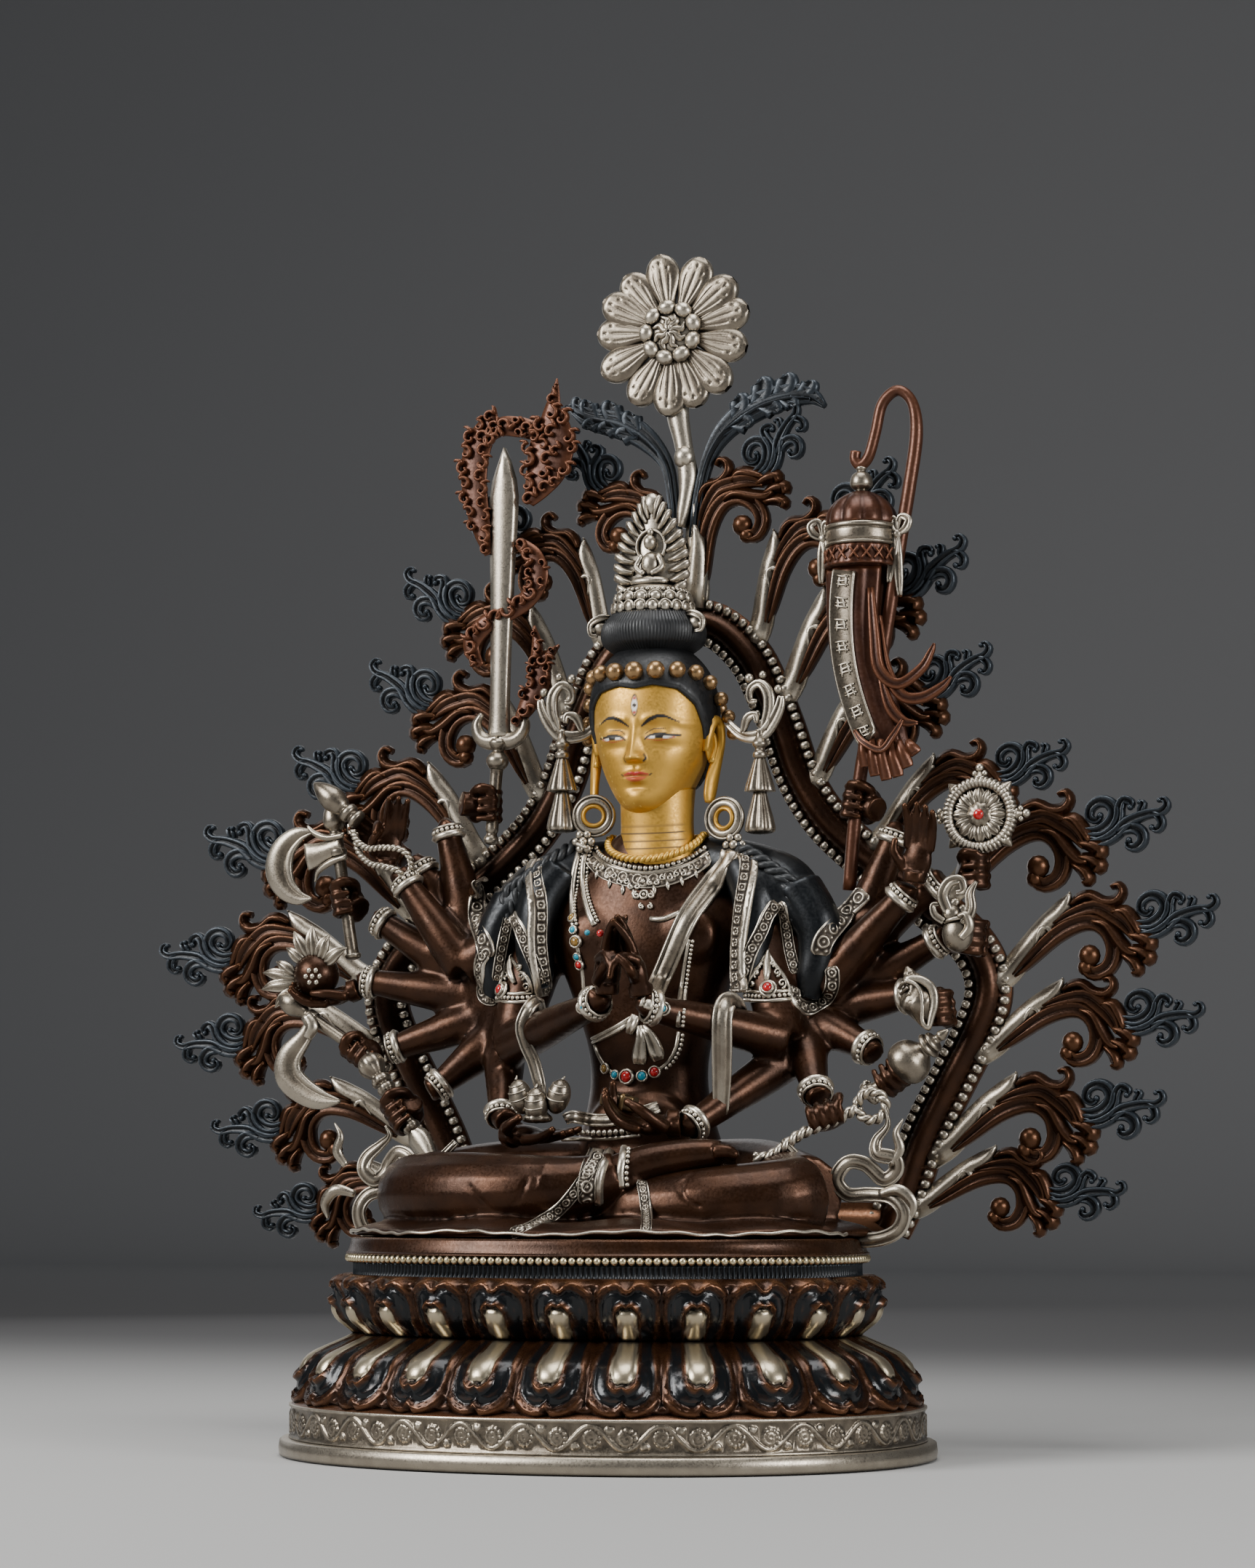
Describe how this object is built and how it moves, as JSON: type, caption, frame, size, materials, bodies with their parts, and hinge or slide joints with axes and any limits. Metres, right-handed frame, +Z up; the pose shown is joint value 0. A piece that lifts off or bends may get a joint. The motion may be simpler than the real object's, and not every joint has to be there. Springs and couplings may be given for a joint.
{
  "type": "cundi statue",
  "caption": "Seated many-armed figure on an oval double-lotus pedestal, before an openwork foliage aureole, holding small attributes.",
  "frame": {"origin": "centre of the pedestal's flat underside", "axes": "+Z up, +Y from the figure's front to its back, +X to the figure's own left"},
  "size_m": [0.4072, 0.1822, 0.4315],
  "materials": {
    "oxidised_copper": "cast copper, oxidised dark reddish brown and waxed",
    "silvered_copper": "silver-plated copper with dark patina in the recesses",
    "reddish_copper": "copper, lightly oxidised to a warm red brown",
    "blued_copper": "copper oxidised blue-black and polished on the high points",
    "gilt_face": "matt fire gilding with painted features",
    "black_hair": "black pigment, satin",
    "dark_bronze": "dark bronze, worn bright on the edges",
    "set_stones": "small polished stones, turquoise, red and amber"
  },
  "bodies": {
    "root": {"lotus_pedestal": "oxidised_copper", "figure": "oxidised_copper", "aureole": "oxidised_copper", "sword": "silvered_copper", "victory_banner": "reddish_copper", "axe": "silvered_copper", "rosary": "silvered_copper", "citron": "oxidised_copper", "hooked_goad": "silvered_copper", "thunderbolt": "silvered_copper", "jewel_cluster": "silvered_copper", "wheel": "silvered_copper", "plumed_gourd": "silvered_copper", "conch": "silvered_copper", "treasure_vase": "silvered_copper", "lasso": "silvered_copper", "scripture": "dark_bronze"}
  },
  "joints": []
}
